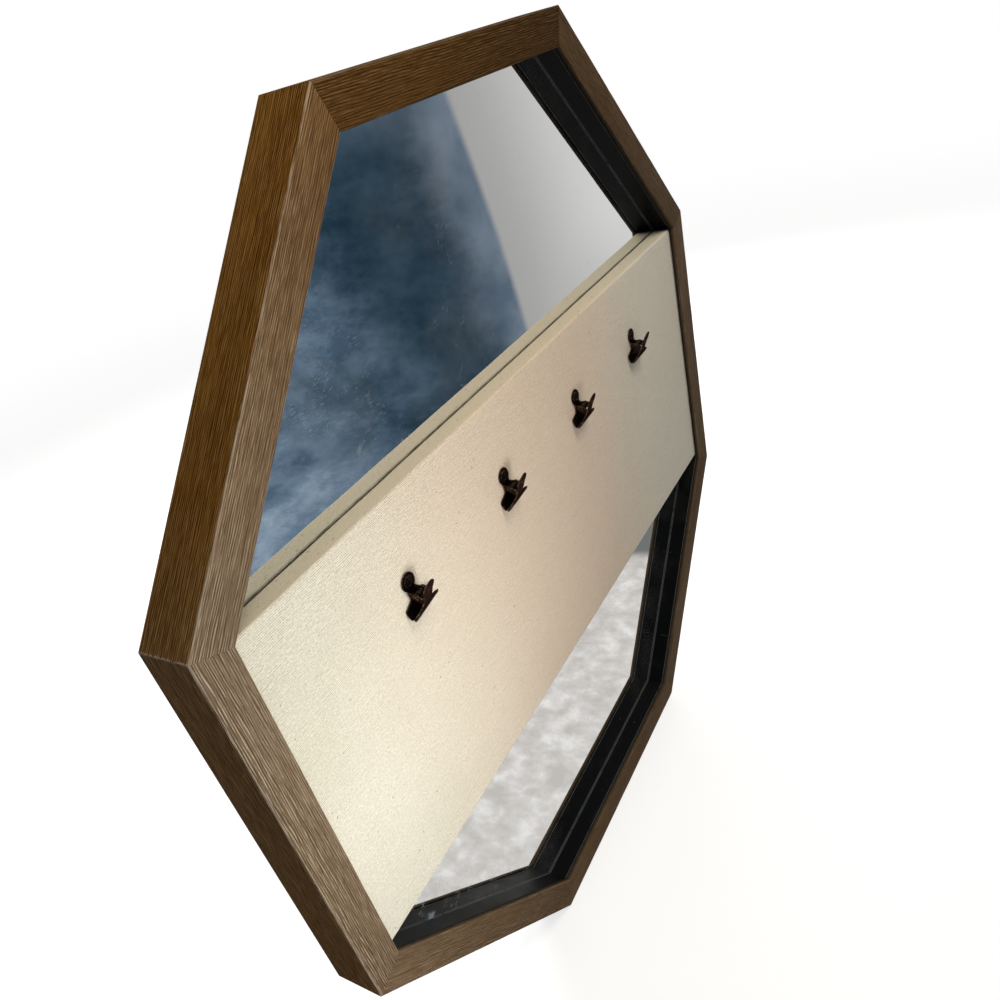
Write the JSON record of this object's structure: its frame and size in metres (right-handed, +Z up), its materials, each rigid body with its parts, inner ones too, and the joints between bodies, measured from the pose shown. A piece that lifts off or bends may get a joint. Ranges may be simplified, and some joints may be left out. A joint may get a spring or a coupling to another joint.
{
  "type": "wall mirror",
  "caption": "Octagonal wall mirror in a deep wooden frame, with a linen-covered board across its middle and a row of spring clips hung on brads.",
  "frame": {"origin": "the middle notch of the hanger on the back of the top rail, in the wall plane", "axes": "+X to the viewer's right, +Y into the wall, +Z up; the mirror faces -Y"},
  "size_m": [0.61, 0.0465, 0.61],
  "materials": {
    "oak": "brushed dark stained oak, matt",
    "black_liner": "black satin",
    "mirror": "polished, silvered on the back",
    "linen": "natural cream ribbed weave",
    "fibreboard": "raw pressed board",
    "clip_bronze": "antique bronze, satin",
    "spring_steel": "dark spring steel",
    "zinc_steel": "bright zinc plate",
    "felt": "dark grey felt"
  },
  "bodies": {
    "frame": {"rail_top": "oak", "liner_top": "black_liner", "corner_nail_top_upper_right": "zinc_steel", "retainer_top": "zinc_steel", "rail_upper_right": "oak", "liner_upper_right": "black_liner", "corner_nail_upper_right_right": "zinc_steel", "retainer_upper_right": "zinc_steel", "rail_right": "oak", "liner_right": "black_liner", "corner_nail_right_lower_right": "zinc_steel", "rail_lower_right": "oak", "liner_lower_right": "black_liner", "corner_nail_lower_right_bottom": "zinc_steel", "retainer_lower_right": "zinc_steel", "rail_bottom": "oak", "liner_bottom": "black_liner", "corner_nail_bottom_lower_left": "zinc_steel", "retainer_bottom": "zinc_steel", "rail_lower_left": "oak", "liner_lower_left": "black_liner", "corner_nail_lower_left_left": "zinc_steel", "retainer_lower_left": "zinc_steel", "rail_left": "oak", "liner_left": "black_liner", "corner_nail_left_upper_left": "zinc_steel", "rail_upper_left": "oak", "liner_upper_left": "black_liner", "corner_nail_upper_left_top": "zinc_steel", "retainer_upper_left": "zinc_steel", "mirror_glass": "mirror", "backing_panel": "fibreboard", "board_core": "fibreboard", "linen_cover": "linen", "clip_1_brad": "clip_bronze", "clip_2_brad": "clip_bronze", "clip_3_brad": "clip_bronze", "clip_4_brad": "clip_bronze", "sawtooth_hanger": "zinc_steel", "hanger_nail_left": "zinc_steel", "wall_bumper_left": "felt", "hanger_nail_right": "zinc_steel", "wall_bumper_right": "felt"},
    "clip_1": {"clip_1_back_leaf": "clip_bronze", "clip_1_pivot_pin": "clip_bronze", "clip_1_spring": "spring_steel"},
    "clip_1_lever": {"clip_1_front_leaf": "clip_bronze"},
    "clip_2": {"clip_2_back_leaf": "clip_bronze", "clip_2_pivot_pin": "clip_bronze", "clip_2_spring": "spring_steel"},
    "clip_2_lever": {"clip_2_front_leaf": "clip_bronze"},
    "clip_3": {"clip_3_back_leaf": "clip_bronze", "clip_3_pivot_pin": "clip_bronze", "clip_3_spring": "spring_steel"},
    "clip_3_lever": {"clip_3_front_leaf": "clip_bronze"},
    "clip_4": {"clip_4_back_leaf": "clip_bronze", "clip_4_pivot_pin": "clip_bronze", "clip_4_spring": "spring_steel"},
    "clip_4_lever": {"clip_4_front_leaf": "clip_bronze"}
  },
  "joints": [
    {"name": "clip_1_swivel", "type": "hinge", "parent": "frame", "child": "clip_1", "pos_m": [-0.17055, -0.0305, -0.22929], "axis": [0, -1, 0], "continuous": true},
    {"name": "clip_1_jaw", "type": "hinge", "parent": "clip_1", "child": "clip_1_lever", "pos_m": [-0.16964, -0.0361, -0.23674], "axis": [-0.9925, 0, -0.1219], "range_deg": [0, 40], "stiffness_Nm_per_rad": 0.04, "springref_deg": -28.65, "deforming": ["clip_1_spring"]},
    {"name": "clip_2_swivel", "type": "hinge", "parent": "frame", "child": "clip_2", "pos_m": [-0.05785, -0.0305, -0.22929], "axis": [0, -1, 0], "continuous": true},
    {"name": "clip_2_jaw", "type": "hinge", "parent": "clip_2", "child": "clip_2_lever", "pos_m": [-0.05733, -0.0361, -0.23678], "axis": [-0.9976, 0, -0.0698], "range_deg": [0, 40], "stiffness_Nm_per_rad": 0.04, "springref_deg": -28.65, "deforming": ["clip_2_spring"]},
    {"name": "clip_3_swivel", "type": "hinge", "parent": "frame", "child": "clip_3", "pos_m": [0.05485, -0.0305, -0.22929], "axis": [0, -1, 0], "continuous": true},
    {"name": "clip_3_jaw", "type": "hinge", "parent": "clip_3", "child": "clip_3_lever", "pos_m": [0.05511, -0.0361, -0.23679], "axis": [-0.9994, 0, -0.0349], "range_deg": [0, 40], "stiffness_Nm_per_rad": 0.04, "springref_deg": -28.65, "deforming": ["clip_3_spring"]},
    {"name": "clip_4_swivel", "type": "hinge", "parent": "frame", "child": "clip_4", "pos_m": [0.16755, -0.0305, -0.22929], "axis": [0, -1, 0], "continuous": true},
    {"name": "clip_4_jaw", "type": "hinge", "parent": "clip_4", "child": "clip_4_lever", "pos_m": [0.16755, -0.0361, -0.2368], "axis": [-1, 0, 0], "range_deg": [0, 40], "stiffness_Nm_per_rad": 0.04, "springref_deg": -28.65, "deforming": ["clip_4_spring"]}
  ]
}
